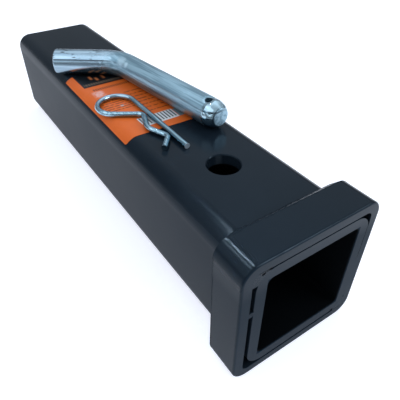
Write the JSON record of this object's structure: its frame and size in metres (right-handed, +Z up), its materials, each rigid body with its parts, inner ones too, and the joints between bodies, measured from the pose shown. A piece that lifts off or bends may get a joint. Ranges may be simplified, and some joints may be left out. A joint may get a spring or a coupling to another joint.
{
  "type": "receiver tube",
  "caption": "Square steel receiver tube with a welded collar at its mouth and a cross hole for its pin; the bent pin, the spring clip and a wrap-round label lie on its top face.",
  "frame": {"origin": "where the axis of the pin holes crosses the centre line of the square tube", "axes": "+X runs along the tube and out of its mouth, +Z is up along the pin holes, +Y is to the left of +X"},
  "size_m": [0.3048, 0.0762, 0.0862],
  "materials": {
    "black_paint": "semi-gloss black paint over mill steel",
    "painted_weld": "weld metal under the same black paint",
    "zinc_plate": "bright zinc plating with light scuffs",
    "label_film": "printed orange and black film"
  },
  "bodies": {
    "root": {"receiver_tube": "black_paint", "mouth_collar": "black_paint", "mouth_weld_top_left": "painted_weld", "mouth_weld_bottom_right": "painted_weld", "mouth_tack": "painted_weld", "collar_rear_weld": "painted_weld", "product_label": "label_film", "hitch_pin": "zinc_plate", "hairpin_clip": "zinc_plate"}
  },
  "joints": []
}
